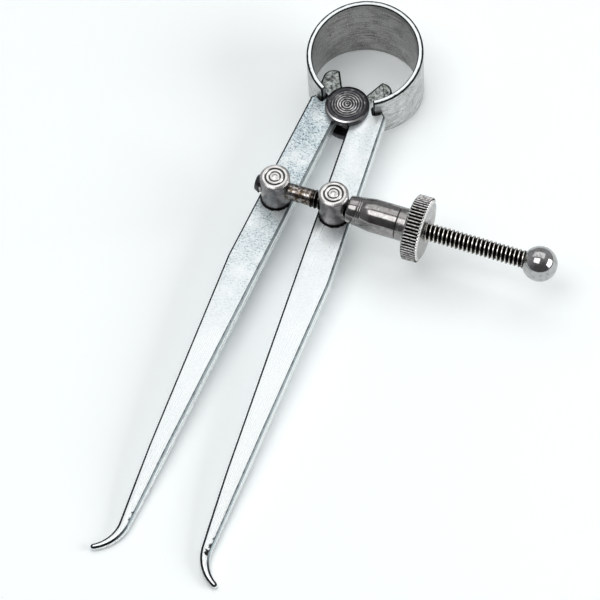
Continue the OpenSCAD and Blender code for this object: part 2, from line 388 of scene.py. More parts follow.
def turned(name, profile, at, along="Z", steps=96):
    """A piece spun from a closed profile of (radius, height, rounding), about an axis through at."""
    made = loop(name, [(p.x, 0, p.y) for p in rounded(profile)])
    edit(made)
    bpy.ops.mesh.spin(steps=steps, angle=math.tau, center=(0, 0, 0), axis=(0, 0, 1))
    close(made)
    made.location = at
    if along == "X":
        made.rotation_euler = TO_X
    settle(made)
    return made


def modify(made, kind, **values):
    """Adds a modifier with its settings and applies it."""
    only(made)
    bpy.ops.object.modifier_add(type=kind)
    added = made.modifiers[-1]
    for key, value in values.items():
        setattr(added, key, value)
    bpy.ops.object.modifier_apply(modifier=added.name)


def soften(made, width):
    """Rounds the sharp edges of a piece and gives them its second material."""
    modify(made, "BEVEL", width=width, segments=3, limit_method="ANGLE", angle_limit=math.radians(50),
           use_clamp_overlap=False, material=1)


def bore(made, at, axis, radius, depth):
    """Drills a round hole through a piece."""
    deselect()
    bpy.ops.mesh.primitive_cylinder_add(vertices=64, radius=radius, depth=depth, location=at)
    drill = bpy.context.object
    if axis == "X":
        drill.rotation_euler = TO_X
    modify(made, "BOOLEAN", operation="DIFFERENCE", solver="EXACT", object=drill)
    bpy.data.objects.remove(drill)


def done(made, body, node, finish, smooth=38):
    """Shades a finished piece and puts it in the frame in place of its solid."""
    only(made)
    bpy.ops.object.shade_smooth_by_angle(angle=math.radians(smooth))
    if finish:
        made.data.materials.clear()
        made.data.materials.append(finish)
    if body:
        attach(made, body)
    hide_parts(node)
    deselect()


# Materials


def put(tree, kind, *given, out=None, **named):
    """Adds a node of a kind such as MapRange or Math ADD, where the last word is the operation or data type.
    Values without a name fill its inputs in order. Names in small letters are settings, and other names are
    inputs. Gives the node's first output, or the output or outputs that out names."""
    kind, _, mode = kind.partition(" ")
    made = tree.nodes.new("ShaderNode" + kind)
    if mode:
        setattr(made, "data_type" if kind == "Mix" else "operation", mode)
    for key, value in named.items():
        if key.islower():
            setattr(made, key, value)
    filled = list(zip([socket for socket in made.inputs if socket.enabled], given))
    filled += [(made.inputs[key], value) for key, value in named.items() if not key.islower()]
    for socket, value in filled:
        if isinstance(value, bpy.types.NodeSocket):
            tree.links.new(value, socket)
        else:
            socket.default_value = (*value, 1.0) if socket.type == "RGBA" else value
    if isinstance(out, tuple):
        return [made.outputs[name] for name in out]
    return made.outputs[out] if out else next((socket for socket in made.outputs if socket.enabled), None)


def cleared(made):
    """Empties a material or world of its nodes and gives what adds new ones."""
    made.use_nodes = True
    made.node_tree.nodes.clear()
    return partial(put, made.node_tree)


def metal(name, centre=(0, 0, 0)):
    """A new metal: its material, what adds its nodes, and its coordinates in millimetres from a centre."""
    made = bpy.data.materials.new(name)
    node = cleared(made)
    start = [-PER_MM * v for v in centre]
    return made, node, node("Mapping", node("TexCoord", out="Object"), Location=start, Scale=(PER_MM,) * 3)


def finished(made, node, tone, layers, rough, height, strength, depth, metallic=1.0):
    """Ends a metal. Layers are masks and the colours that they lay over the tone. Roughness and height are
    each a first value and then patterns with their shares. The depth of the relief is in millimetres."""
    for mask, over in layers:
        tone = node("Mix RGBA", mask, tone, over)
    sums = []
    for total, *parts in (rough, height):
        for pattern, share in parts:
            total = node("Math MULTIPLY_ADD", pattern, share, total)
        sums.append(total)
    relief = node("Bump", Strength=strength, Distance=depth * MM, Height=sums[1])
    node("OutputMaterial", node("BsdfPrincipled", tone, metallic, sums[0], Normal=relief))
    return made


def plated_steel():
    """Flat-ground steel with bright plating: white sheen, faint grinding lines along the leg, and towards the
    pivot the blue-grey patches and dark specks that handling leaves. The heads are filed and dull."""
    c, t = settings().colours, settings().turned
    made, node, mm = metal("bright plated steel, handled")
    # patches of about 4 mm, and specks of about 0.3 mm with hard edges
    patch = node("TexNoise", mm, Scale=0.26, Detail=5.0, Roughness=0.62)
    speck = node("TexNoise", mm, Scale=3.2, Detail=3.0, Roughness=0.6)
    # grinding lines 0.15 mm apart and some 8 mm long
    lined = node("Mapping", mm, Scale=(6.5, 0.12, 3.0))
    line = node("TexNoise", lined, Scale=1.0, Detail=2.0, Roughness=0.5)
    # stray scratches both ways across the leg, 0.7 mm long and 0.15 mm wide
    strays = []
    for turn in (0.75, -0.55):
        crossed = node("Mapping", mm, Rotation=(0, 0, turn), Scale=(1.4, 6.0, 1.0))
        stray = node("TexNoise", crossed, Scale=1.0, Detail=2.0)
        strays.append(node("MapRange", stray, 0.54, 0.64))
    stray = node("Math MAXIMUM", *strays)
    # handling is heavy from the pivot to the screw and gone below the knee, on the flats, more on the left
    x, y = node("SeparateXYZ", mm, out=("X", "Y"))
    handled = node("MapRange", y, -56.0, -16.0, 0.05, 1.0)
    left = node("MapRange", x, 2.0, -2.0, 0.3, 1.0)
    above = node("SeparateXYZ", node("TexCoord", out="Normal"), out="Z")
    zone = node("MapRange", patch, 0.3, 0.55)
    for part in (handled, left, node("Math ABSOLUTE", above)):
        zone = node("Math MULTIPLY", zone, part)
    spots = node("MapRange", speck, 0.55, 0.62)
    spots = node("Math MULTIPLY_ADD", stray, 0.5, spots)
    spots = node("Math MULTIPLY", spots, zone, use_clamp=True)
    # the heads are filed, fully from 3.2 mm behind the pivot, with dark pits of about 0.7 mm
    filed = node("MapRange", y, 0.6, 3.2)
    pits = node("TexNoise", mm, Scale=1.5, Detail=4.0, Roughness=0.7)
    pits = node("MapRange", pits, 0.38, 0.6)
    gritty = node("Mix RGBA", pits, c.edge_shade_and_pits, c.filed)
    layers = [(zone, c.plating_dull), (spots, c.plating_speck), (filed, gritty)]
    # old stains at the ankles
    for spot, reach in STAINS:
        far = node("VectorMath DISTANCE", mm, spot)
        far = node("Math MULTIPLY_ADD", speck, 1.6, far)
        mark = node("MapRange", far, reach + 0.9, reach + 0.75)
        layers.append((mark, c.oil))
    # a broken dark line, 0.3 mm wide, on the upper flats round the posts: painted contact shade where the
    # posts stand, dark as old oil
    folded = node("VectorMath ABSOLUTE", mm)
    folded = node("VectorMath MULTIPLY", folded, (1, 1, 0))
    post = (t.post_x * PER_MM, t.post_y * PER_MM, 0)
    far = node("VectorMath DISTANCE", folded, post)
    far = node("Math MULTIPLY_ADD", speck, 0.8, far)
    rim = t.post_r * PER_MM
    oiled = node("MapRange", far, rim + 0.72, rim + 0.6)
    oiled = node("Math MULTIPLY", oiled, above, use_clamp=True)
    layers.append((oiled, c.oil))
    grit = node("Math MULTIPLY", filed, speck)
    rough = (0.2, (line, 0.16), (zone, 0.2), (filed, 0.15))
    height = (line, (stray, -0.8), (speck, 0.5), (grit, 6.0))
    # a thin milky film scatters a share of the light, so the plating is not a full mirror
    return finished(made, node, c.plating, layers, rough, height, 0.25, 0.02, metallic=0.62)


def edge_steel(name, base, lit, border=None):
    """Edges of legs and band: a thin uneven line of dull dark steel that is painted shade, and a painted
    highlight on the right-hand edges. A border is a dark line of painted shade outside a radius about a
    centre."""
    made, node, mm = metal(name)
    # breaks of about 1 mm in the painted highlight, which lies on the edges that face right
    patch = node("TexNoise", mm, Scale=0.9, Detail=4.0, Roughness=0.6)
    side = node("SeparateXYZ", node("TexCoord", out="Normal"), out="X")
    highlit = node("Math MULTIPLY_ADD", patch, 1.6, side)
    highlit = node("MapRange", highlit, 0.9, 1.4)
    # toes and heads get no painted highlight, so all their edges are painted dark
    y = node("SeparateXYZ", mm, out="Y")
    for dark, light in ((-97.0, -93.0), (2.5, -1.0)):
        free = node("MapRange", y, dark, light)
        highlit = node("Math MULTIPLY", highlit, free)
    layers = [(highlit, lit)]
    if border:
        # the border is a dark line of painted shade round the rim
        centre, radius = border
        flat = node("VectorMath MULTIPLY", mm, (1, 1, 0))
        far = node("VectorMath DISTANCE", flat, (0, centre, 0))
        far = node("Math MULTIPLY_ADD", patch, 0.3, far)
        past = node("MapRange", far, radius + 0.1, radius + 0.2)
        layers.append((past, settings().colours.edge_shade_and_pits))
    return finished(made, node, base, layers, (0.3, (patch, 0.3)), (patch,), 0.3, 0.02)


def spring_steel():
    """Cold-rolled spring strip: satin grey, fine rolling lines that run round the ring, a few dark spots."""
    c, b = settings().colours, settings().spring
    made, node, mm = metal("satin rolled spring steel")
    # lines 0.25 mm apart that run for some 6 mm round the ring, and clouds of about 3 mm
    rolled = node("Mapping", mm, Scale=(0.16, 0.16, 4.0))
    line = node("TexNoise", rolled, Scale=1.0, Detail=5.0, Roughness=0.65)
    cloud = node("TexNoise", mm, Scale=0.35, Detail=5.0, Roughness=0.6)
    mask = node("Math MULTIPLY_ADD", cloud, 0.6, line)
    mask = node("MapRange", mask, 0.68, 0.98)
    # bright grains of about 0.2 mm
    grain = node("TexNoise", mm, Scale=4.5, Detail=2.0, Roughness=0.6)
    shine = node("MapRange", grain, 0.55, 0.7, 0.0, 0.7)
    # the outside is painted lighter in flecks of about 1 mm, drawn out round the ring: partly rubbed wear,
    # partly painted highlight
    flat = node("VectorMath MULTIPLY", mm, (1, 1, 0))
    far = node("VectorMath DISTANCE", flat, (0, b.centre * PER_MM, 0))
    outside = node("Math GREATER_THAN", far, (b.inside + b.thickness / 2) * PER_MM)
    drawn = node("Mapping", mm, Scale=(0.8, 0.8, 2.4))
    rubbed_sheen = node("TexNoise", drawn, Scale=1.0, Detail=5.0, Roughness=0.7)
    rubbed_sheen = node("MapRange", rubbed_sheen, 0.4, 0.66, 0.08, 0.65)
    rubbed_sheen = node("Math MULTIPLY", rubbed_sheen, outside)
    # spots of about 0.6 mm, some centimetres apart
    spot = node("TexNoise", mm, Scale=0.8, Detail=1.0)
    spot = node("MapRange", spot, 0.74, 0.8)
    layers = [(mask, c.band_line), (shine, c.bright), (rubbed_sheen, c.plating), (spot, c.oil)]
    height = (line, (spot, -0.5), (grain, 0.5))
    return finished(made, node, c.band, layers, (0.2, (line, 0.25)), height, 0.4, 0.03)


def turned_steel(name, base, worn, centre, along, roughness, share, hub=None, top=None, foot=None, rings=(),
                 lip=None, grooves=None):
    """Turned steel: fine tool rings about its own axis, a darker skin, and bright metal where the skin is
    rubbed off at random. A painted highlight lies along the rings inside the radius hub and on the front of a
    lip outside a radius and above a height, and a painted sheen above the height top. Painted shade, dark as
    old oil, lies at the height foot. Old oil stays in rings of a face given by radius and width, and in a
    knurl, between the first two radii of grooves and outside the third; the bevel outside the fourth is
    bright. All of these are in millimetres."""
    c = settings().colours
    made, node, local = metal(name, centre)
    if along == "X":
        local = node("VectorRotate", local, Axis=(0, 1, 0), Angle=-math.pi / 2)
    # tool rings, drawn 0.25 mm apart so that they show, on the faces and along the length
    x, y, z = node("SeparateXYZ", local, out=("X", "Y", "Z"))
    radius = node("VectorMath LENGTH", node("CombineXYZ", x, y))
    run = node("CombineXYZ", node("Math ADD", radius, z))
    ring = node("TexNoise", run, Scale=4.0, Detail=3.0, Roughness=0.7)
    cloud = node("TexNoise", local, Scale=1.0, Detail=5.0, Roughness=0.65)
    rubbed = node("Math MULTIPLY_ADD", ring, 0.6, cloud)
    rubbed = node("MapRange", rubbed, 0.95 - share, 1.2 - share)
    if hub:
        # painted highlights on the lands between the turned grooves, with their spacing and the radius of one
        # of them
        spacing, land_r = 0.48, 1.3
        wave = math.tau / spacing
        land = node("Math MULTIPLY_ADD", radius, wave, -wave * land_r)
        land = node("Math COSINE", land)
        line = node("Math MULTIPLY_ADD", ring, 3.0, land)
        line = node("MapRange", line, 1.6, 2.3)
        near = node("MapRange", radius, hub, 0.5 * hub)
        broken = node("MapRange", cloud, 0.36, 0.6, 0.2, 1.0)
        for part in (near, broken):
            line = node("Math MULTIPLY", part, line)
        rubbed = node("Math MAXIMUM", rubbed, line)
    if top:
        # painted sheen: everything above this height is painted bright
        rim = node("MapRange", z, top, top + 0.1, 0.0, 0.95)
        rubbed = node("Math MAXIMUM", rubbed, rim)
    tone = node("Mix RGBA", rubbed, base, worn)
    # cloudy stains over everything
    shade = node("MapRange", cloud, 0.35, 0.65, 0.7, 1.1)
    tone = node("VectorMath SCALE", tone, shade)
    layers, rough = [], [roughness - 0.08, (ring, 0.16)]
    if lip:
        # painted highlight on the front of the lip, the side that faces -y
        front = node("SeparateXYZ", node("TexCoord", out="Normal"), out="Y")
        lit = node("MapRange", front, -0.15, -0.4)
        for value, edge in zip((radius, z), lip):
            past = node("Math GREATER_THAN", value, edge)
            lit = node("Math MULTIPLY", lit, past)
        layers.append((lit, c.bright))
    # what is measured, its middle, how far off the dark begins to fade and is gone, and its cover: old oil in
    # the rings, painted shade at the foot
    bands = [(radius, ring_r, 0.2 * wide, 0.6 * wide, 0.86) for ring_r, wide in rings]
    if foot:
        # painted contact shade at the post's foot
        bands.append((z, foot, 0.4, 0.65, 0.95))
    for value, middle, full, gone, cover in bands:
        off = node("Math ABSOLUTE", node("Math SUBTRACT", value, middle))
        layers.append((node("MapRange", off, full, gone, cover, 0.0), c.oil))
    if grooves:
        root, crest, teeth, bevel = grooves
        deep = node("MapRange", radius, root, crest)
        # crests are rubbed in spots of about 0.4 mm
        spots = node("TexNoise", local, Scale=2.4, Detail=2.0)
        spots = node("MapRange", spots, 0.38, 0.52, 0.35, 1.0)
        deep = node("Math MULTIPLY", deep, spots)
        filled = node("Mix RGBA", deep, c.oil, worn)
        edge = node("Math GREATER_THAN", radius, bevel)
        inside = node("Math GREATER_THAN", radius, teeth)
        layers += [(edge, worn), (inside, filled)]
        rough.append((inside, 0.2))
    return finished(made, node, tone, layers, rough, (ring, (cloud, 0.2)), 0.3, 0.03)


def screw_steel(centre):
    """Cut thread with old oil: crests rubbed bright, roots nearly black, a brown film on the shank."""
    c = settings().colours
    made, node, local = metal("oiled cut thread", centre)
    x, y, z = node("SeparateXYZ", local, out=("X", "Y", "Z"))
    radius = node("VectorMath LENGTH", node("CombineXYZ", y, z))
    # stains of about 0.8 mm
    cloud = node("TexNoise", local, Scale=1.3, Detail=4.0, Roughness=0.65)
    crest = node("Math MULTIPLY_ADD", cloud, 0.06, radius)
    rubbed = node("MapRange", crest, 1.63, 1.76)
    # the first turns, between the posts, were never rubbed
    used = node("MapRange", x, 5.0, 7.0, 0.15, 1.0)
    rubbed = node("Math MULTIPLY", rubbed, used)
    # the shank ends where the thread begins, 1.3 mm from the middle
    shank = node("MapRange", x, 1.2, 1.8, 1.0, 0.0)
    stain = node("MapRange", cloud, 0.38, 0.54)
    bare = node("Mix RGBA", stain, c.worn, c.film)
    # the peened end outside the left post is dark
    inner = node("MapRange", x, -8.6, -8.3)
    bare = node("Mix RGBA", inner, c.dark, bare)
    layers = [(rubbed, c.crest), (shank, bare)]
    return finished(made, node, c.oil, layers, (0.12, (cloud, 0.25)), (cloud,), 0.35, 0.04)


def polished_steel():
    """Polished ball: a near mirror with a little haze and dark stains."""
    c = settings().colours
    made, node, mm = metal("polished steel ball")
    # haze in patches of about 0.8 mm
    haze = node("TexNoise", mm, Scale=1.2, Detail=6.0, Roughness=0.7)
    stain = node("MapRange", haze, 0.5, 0.72, 0.0, 0.6)
    return finished(made, node, c.ball, [(stain, c.dark)], (0.0, (haze, 0.2)), (haze,), 0.3, 0.02)


# Pieces


def leg_outline(steps=26):
    """Outline of the right leg from its seat down the inner side, round the foot and up over the ear, with
    the numbers of the points that face each other across the foot, and the start and end of its thinning."""
    s, t, b = settings().legs, settings().turned, settings().spring
    pivot, ring = Vector((0, 0)), Vector((0, b.centre))
    top, knee = Vector((s.gap_x, 0)), Vector((s.knee_x, -s.knee_y))
    # ways down the inner and the outer edge, and square to them
    ankle_y = s.reach - s.foot
    lean_in = math.atan((s.ankle_x - s.gap_x) / ankle_y)
    lean_out = math.atan((s.knee_x - s.ankle_x - s.ankle_w) / (ankle_y - s.knee_y))
    in_u = Vector((math.sin(lean_in), -math.cos(lean_in)))
    in_n = Vector((math.cos(lean_in), math.sin(lean_in)))
    out_u = Vector((-math.sin(lean_out), -math.cos(lean_out)))
    out_n = Vector((math.cos(lean_out), -math.sin(lean_out)))
    # centres of the tip and of the two curves that run into it
    share = s.tip_x / s.reach
    tip = (s.reach - s.tip_r) * Vector((share, -math.sqrt(1 - share * share)))
    heel = meet(top + s.heel_r * in_n, in_u, tip, s.heel_r - s.tip_r, -1)
    arch = meet(knee + s.arch_r * out_n, out_u, tip, s.arch_r + s.tip_r, -1)
    # the leg thins from a line across it, square to the way to the tip
    thin_y = s.reach - s.thin_l
    thin_in = s.gap_x + thin_y * math.tan(lean_in)
    thin_out = s.knee_x - (thin_y - s.knee_y) * math.tan(lean_out)
    thin = Vector(((thin_in + thin_out) / 2, -thin_y))
    down = tip - thin

    def across(p, u):
        return p + u * ((thin - p).dot(down) / u.dot(down))

    to_tip, to_arch = (tip - heel).normalized(), (arch - tip).normalized()
    inner = [across(top, in_u)] + arc(heel, s.heel_r, -in_n, to_tip, steps)
    outer = [across(knee, out_u)] + arc(arch, s.arch_r, -out_n, -to_arch, steps)
    round_tip = arc(tip, s.tip_r, to_tip, to_arch, 10)[1:-1]
    # seat on the stud's core, between the ear's inner edge and the leg's
    seat = t.core_r + RUN
    ear_root = Vector((0.42 * MM, 0))
    ear_u = Vector((math.sin(s.ear_lean), math.cos(s.ear_lean)))
    low, high = meet(top, in_u, pivot, seat), meet(ear_root, ear_u, pivot, seat)
    seat_arc = arc(pivot, seat, high, low, 16)
    # ear and the slot that takes the spring's end
    side = s.ear_x + s.ear_r - 0.03 * MM
    ear = Vector((s.ear_x, s.ear_y))
    peak = meet(ear_root, ear_u, ear, s.ear_r)
    flank = Vector((side, s.ear_y + math.sqrt(s.ear_r ** 2 - (side - s.ear_x) ** 2)))
    ear_arc = arc(ear, s.ear_r, flank - ear, peak - ear, 16)
    slot_end = math.pi / 2 - b.half_angle - math.radians(0.4)
    end = Vector((math.cos(slot_end), math.sin(slot_end)))

    def slot_side(radius):
        mouth = Vector((side, b.centre - math.sqrt(radius ** 2 - side ** 2)))
        return arc(ring, radius, mouth - ring, end, 6)

    clear, slot_r, ear_edge, lip_r = 0.12 * MM, 0.12 * MM, 0.3 * MM, 0.1 * MM
    knee_r, shoulder_r, shoulder_h = 6 * MM, 0.4 * MM, 0.55 * MM
    slot_out = slot_side(b.inside + b.thickness + clear)
    slot_in = slot_side(b.inside - clear)[::-1]
    corners = [(*outer[0], 0), (*knee, knee_r), (s.shoulder_x, s.shoulder_y - shoulder_h, shoulder_r),
               (side, s.shoulder_y, lip_r)]
    for run, last_r in ((slot_out, slot_r), (slot_in[:1], slot_r), (slot_in[1:], ear_edge / 2),
                        (ear_arc, ear_edge), (seat_arc, 0)):
        corners += [(*p, 0) for p in run[:-1]] + [(*run[-1], last_r)]
    points = [low] + inner + round_tip + outer[::-1] + rounded(corners)[1:-1]
    last = len(inner) + len(round_tip) + len(outer)
    pairs = [(1 + j, last - j) for j in range(len(inner))]
    return points, pairs, thin, tip


def shape_foot(made, middles, halves, thin, tip, middle):
    """Thins a leg from the line thin to its end and rounds the section of the foot, by moving its points."""
    s = settings().legs
    half, tip_half = s.thickness / 2, s.tip_t / 2
    down = tip - thin
    for v in made.data.vertices:
        p = Vector((abs(v.co.x), v.co.y))
        run = (p - thin).dot(down) / down.length_squared
        if run <= 0:
            continue
        depth = half - (half - tip_half) * run
        height = middle + (s.tip_z + tip_half - half) * run
        # the nearest stretch of the middle line, and the place across it as a share of its half width
        best = min(range(len(middles) - 1), key=lambda j: (p - (middles[j] + middles[j + 1]) / 2).length)
        a, b = middles[best], middles[best + 1]
        f = clamp((p - a).dot(b - a) / (b - a).length_squared)
        core, wide = a.lerp(b, f), halves[best] + (halves[best + 1] - halves[best]) * f
        side = Vector((-(b - a).y, (b - a).x)).normalized()
        u = (p - core).dot(side) / wide
        w = (v.co.z - middle) / half
        # the section starts to round a fifth of the way down and is nearly oval from three quarters on
        soft = clamp(run * 1.9 - 0.4) * 0.85
        keep_u = math.sqrt(max(1 - soft * w * w / 2, 0))
        keep_w = math.sqrt(max(1 - soft * min(u * u, 1) / 2, 0))
        q = p + side * wide * u * (keep_u - 1)
        v.co = (math.copysign(q.x, v.co.x), q.y, height + w * keep_w * depth)
    made.data.update()


class CALIPER_OT_legs(bpy.types.Operator):
    """Models both legs: a flat blank with its slot and seat, rounded edges and a thinned, rounded foot"""
    bl_idname = "caliper.legs"
    bl_label = "Legs"

    def execute(self, context):
        s, t, c = settings().legs, settings().turned, settings().colours
        middle, top = levels().middle, levels().top
        points, pairs, thin, tip = leg_outline()
        middles = [(points[a] + points[b]) / 2 for a, b in pairs]
        halves = [(points[a] - points[b]).length / 2 for a, b in pairs]
        made = loop("leg_right", [(p.x, p.y, top) for p in points])
        edit(made)
        bpy.ops.mesh.edge_face_add()
        for pair in pairs:
            pick(made, points=pair)
            bpy.ops.mesh.vert_connect()
        # a middle line down the foot, so that its flats can be rounded
        pick(made, edges=pairs)
        bpy.ops.mesh.subdivide(number_cuts=1)
        edit(made)
        bpy.ops.mesh.extrude_region_move(TRANSFORM_OT_translate={"value": (0, 0, -s.thickness)})
        close(made)
        made.data.materials.append(plated_steel())
        # the rounded edges get painted shade, with a painted highlight on the right-hand ones
        made.data.materials.append(edge_steel("leg edge with painted shade and highlight", c.edge_shade_and_pits, c.edge_highlight))
        soften(made, s.edge)
        shape_foot(made, middles, halves, thin, tip, middle)
        bore(made, (t.post_x, -t.post_y, middle), "Z", t.stem_r + RUN, 3 * s.thickness)
        only(made)
        bpy.ops.object.duplicate()
        twin = bpy.context.object
        twin.name = twin.data.name = "leg_left"
        twin.scale.x = -1
        settle(twin)
        close(twin)
        done(made, "right_arm", "right_leg", None)
        done(twin, "left_arm", "left_leg", None)
        return {"FINISHED"}


class CALIPER_OT_bow_spring(bpy.types.Operator):
    """Models the bow spring: a tapered strip bent to an open ring, with rounded edges"""
    bl_idname = "caliper.bow_spring"
    bl_label = "Bow spring"

    def execute(self, context):
        s, c = settings().spring, settings().colours
        middle = levels().middle
        around, across = 144, 8
        radius, outside = s.inside + s.thickness / 2, s.inside + s.thickness
        # the width grows in a straight line from the ends to the back
        back, end = s.centre + outside, s.centre + outside * math.cos(s.half_angle)
        slope = (s.width - s.end_width) / 2 / (back - end)
        rows = [[] for _ in range(across + 1)]
        for j, row in enumerate(rows):
            for i in range(around + 1):
                a = s.half_angle * (2 * i / around - 1)
                x, y = radius * math.sin(a), s.centre + radius * math.cos(a)
                half = s.end_width / 2 + slope * (y - end)
                row.append((x, y, middle + half * (2 * j / across - 1)))
        made = sheet("bow_spring_band", rows)
        # centre and inner radius of the dark line of painted shade on the rim, in millimetres
        border = (s.centre * PER_MM, (outside - s.edge) * PER_MM - 0.16)
        # the band's rounded edges and the line at the rim's outer edge are painted dark as shade
        for finish in (spring_steel(), edge_steel("dark band edge", c.edge_shade_and_pits, c.edge_shade_and_pits),
                       edge_steel("ground band rim", c.plating, c.plating, border)):
            made.data.materials.append(finish)
        modify(made, "SOLIDIFY", thickness=s.thickness, offset=0.0, use_even_offset=True,
               material_offset_rim=2)
        close(made)
        soften(made, s.edge)
        close(made)
        done(made, None, "bow_spring", None)
        # each point is set by its turn about the pivot, as a share of the turn to the ears, the object's
        # place is taken into the mesh, and the rolled points are put back
        ear_turn, ease = math.radians(72), 2.5
        rolled = [v.co.copy() for v in made.data.vertices]
        flat = []
        for p in rolled:
            turn = math.atan2(p.x, p.y)
            share = min(abs(turn) / ear_turn, 1.0) ** ease
            flat.append((math.copysign(share, turn) * MM, 0, p.z))
        place(made, flat)
        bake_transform(made)
        place(made, rolled)
        return {"FINISHED"}


def grooved(radius, top, depth, rounding):
    """Corners of a turned V groove in a flat face."""
    return [(radius + depth, top, rounding), (radius, top - depth, rounding), (radius - depth, top, rounding)]


class CALIPER_OT_fulcrum_stud(bpy.types.Operator):
    """Models the fulcrum stud: a spool with a chamfered upper flange, turned rings and a centre nub"""
    bl_idname = "caliper.fulcrum_stud"
    bl_label = "Fulcrum stud"

    def execute(self, context):
        t, c = settings().turned, settings().colours
        r, low = t.flange_r, levels().top + FACE
        top = low + t.flange_t
        soft, cut, lip_h, lip_w, nub = 0.06 * MM, 0.2 * MM, 0.3 * MM, 0.6 * MM, 0.2 * MM
        profile = [(0, 0, 0), (r - cut, 0, soft), (r, cut, soft), (r, t.flange_t, soft),
                   (t.core_r, t.flange_t, 0), (t.core_r, low, 0), (r, low, soft), (r, top - lip_h, lip_h / 2),
                   (r - lip_w, top, lip_w / 2)]
        for share in (0.74, 0.6, 0.48, 0.37, 0.27):
            profile += grooved(share * r, top, 0.1 * MM, 0.03 * MM)
        profile += [(0.16 * r, top, 0.05 * MM), (0.08 * r, top + nub, 0.08 * MM), (0, top + nub, 0)]
        made = turned("fulcrum_stud_turned", profile, (0, 0, 0), steps=128)
        # painted highlights on the lands near the centre and on the front of the lip
        finish = turned_steel("blackened turned steel, stud", c.dark, c.bright, (0, 0, 0), "Z", 0.3, 0.05,
                              hub=3.1, lip=((r - 0.6 * lip_w) * PER_MM, (top - 0.26 * MM) * PER_MM))
        done(made, "pivot", "fulcrum_stud", finish)
        return {"FINISHED"}


class CALIPER_OT_posts(bpy.types.Operator):
    """Models both swivel posts with their turned tops, cross holes, stems and riveted heads"""
    bl_idname = "caliper.posts"
    bl_label = "Swivel posts"

    def execute(self, context):
        s, t, c = settings().screw, settings().turned, settings().colours
        leg = levels()
        r, low, seat, top = t.post_r, leg.bottom - FACE, leg.top + FACE, leg.top + t.post_h
        soft, dome, lip_h, lip_w, nub = 0.07 * MM, 0.2 * MM, 0.3 * MM, 0.5 * MM, 0.1 * MM
        head = low - t.rivet_h
        profile = [(0, head, 0), (t.rivet_r - dome, head, 0.15 * MM), (t.rivet_r, head + dome, 0.1 * MM),
                   (t.rivet_r, low, soft), (t.stem_r, low, 0), (t.stem_r, seat, 0), (r, seat, soft),
                   (r, top - lip_h, 0.15 * MM), (r - lip_w, top, 0.2 * MM)]
        for (share, _), deep in zip(POST_RINGS, (0.2 * MM, 0.16 * MM)):
            profile += grooved(share * r, top, deep, deep / 4)
        profile += [(0.2 * r, top, 0.05 * MM), (0.1 * r, top + nub, 0.06 * MM), (0, top + nub, 0)]
        jobs = [("post_left", -t.post_x, "screw", "left_post", s.shank_r + 0.01 * MM),
                ("post_right", t.post_x, "right_swivel", "right_post", s.radius + RUN)]
        for name, x, body, node, hole in jobs:
            made = turned(name, profile, (x, -t.post_y, 0))
            bore(made, (x, -t.post_y, leg.axis), "X", hole, 4 * r)
            # the post tops get a painted sheen and their feet painted shade
            finish = turned_steel("turned steel, " + name, c.post, c.bright, (x, -t.post_y, 0), "Z", 0.27,
                                  0.0, top=(top - lip_h) * PER_MM, foot=seat * PER_MM,
                                  rings=[(share * r * PER_MM, wide) for share, wide in POST_RINGS])
            done(made, body, node, finish)
        return {"FINISHED"}


class CALIPER_OT_cross_screw(bpy.types.Operator):
    """Models the cross screw: a cut thread, a plain shank, a peened end and the neck of the ball"""
    bl_idname = "caliper.cross_screw"
    bl_label = "Cross screw"

    def execute(self, context):
        s, t = settings().screw, settings().turned
        at = on_screw()
        first, end, p, crest = s.start, s.ball_x - 0.25 * MM, s.pitch, s.radius
        root = crest - 0.54 * p
        turns = math.ceil((end - first) / p) + 2
        # one turn of the thread: radius and share of the pitch
        land, fillet = crest - 0.05 * MM, root + 0.03 * MM
        wave = [(root, 0.0), (fillet, 0.09), (land, 0.375), (crest, 0.42), (crest, 0.58), (land, 0.625),
                (fillet, 0.91), (root, 1.0)]
        made = loop("cross_screw_cut", [(r, 0, share * p) for r, share in wave])
        pick(made, edges=[(0, len(wave) - 1)])
        bpy.ops.mesh.delete(type="EDGE")
        modify(made, "SCREW", axis="Z", angle=math.tau, screw_offset=p, iterations=turns, steps=32,
               render_steps=32, use_merge_vertices=True, merge_threshold=1e-6)
        close(made)
        for height, side in ((p, "clear_inner"), (p + end - first, "clear_outer")):
            edit(made)
            bpy.ops.mesh.bisect(plane_co=(0, 0, height), plane_no=(0, 0, 1), use_fill=True, **{side: True})
        close(made)
        made.location = (first - p, *at[1:])
        made.rotation_euler = TO_X
        settle(made)
        # the peened end, proud of the left post, and the shank that runs on into the thread
        stub = t.post_x + t.post_r + FACE
        soft, peen, head, run_in = 0.08 * MM, 0.9 * MM, 0.3 * MM, first + 1.6 * p
        shank = turned("shank", [(0, -stub - peen, 0), (s.shank_r - 0.15 * MM, -stub - peen, 0.12 * MM),
                                 (s.shank_r + head, -stub, soft), (s.shank_r, -stub, 0),
                                 (s.shank_r, first + p, 0.1 * MM), (0.9 * MM, run_in, 0), (0, run_in, 0)],
                       at, "X", 64)
        pin = s.ball_x + PIN_L
        neck = turned("neck", [(0, end - p, 0), (root + 0.05 * MM, end - p, 0),
                               (s.shank_r, end - 0.3 * p, soft), (s.shank_r, s.ball_x, 0),
                               (PIN_R, s.ball_x, 0), (PIN_R, pin, 0), (0, pin, 0)], at, "X", 64)
        only(made)
        shank.select_set(True)
        neck.select_set(True)
        bpy.ops.object.join()
        made.data.validate()
        done(made, "screw", "adjusting_screw", screw_steel(at), 34)
        return {"FINISHED"}


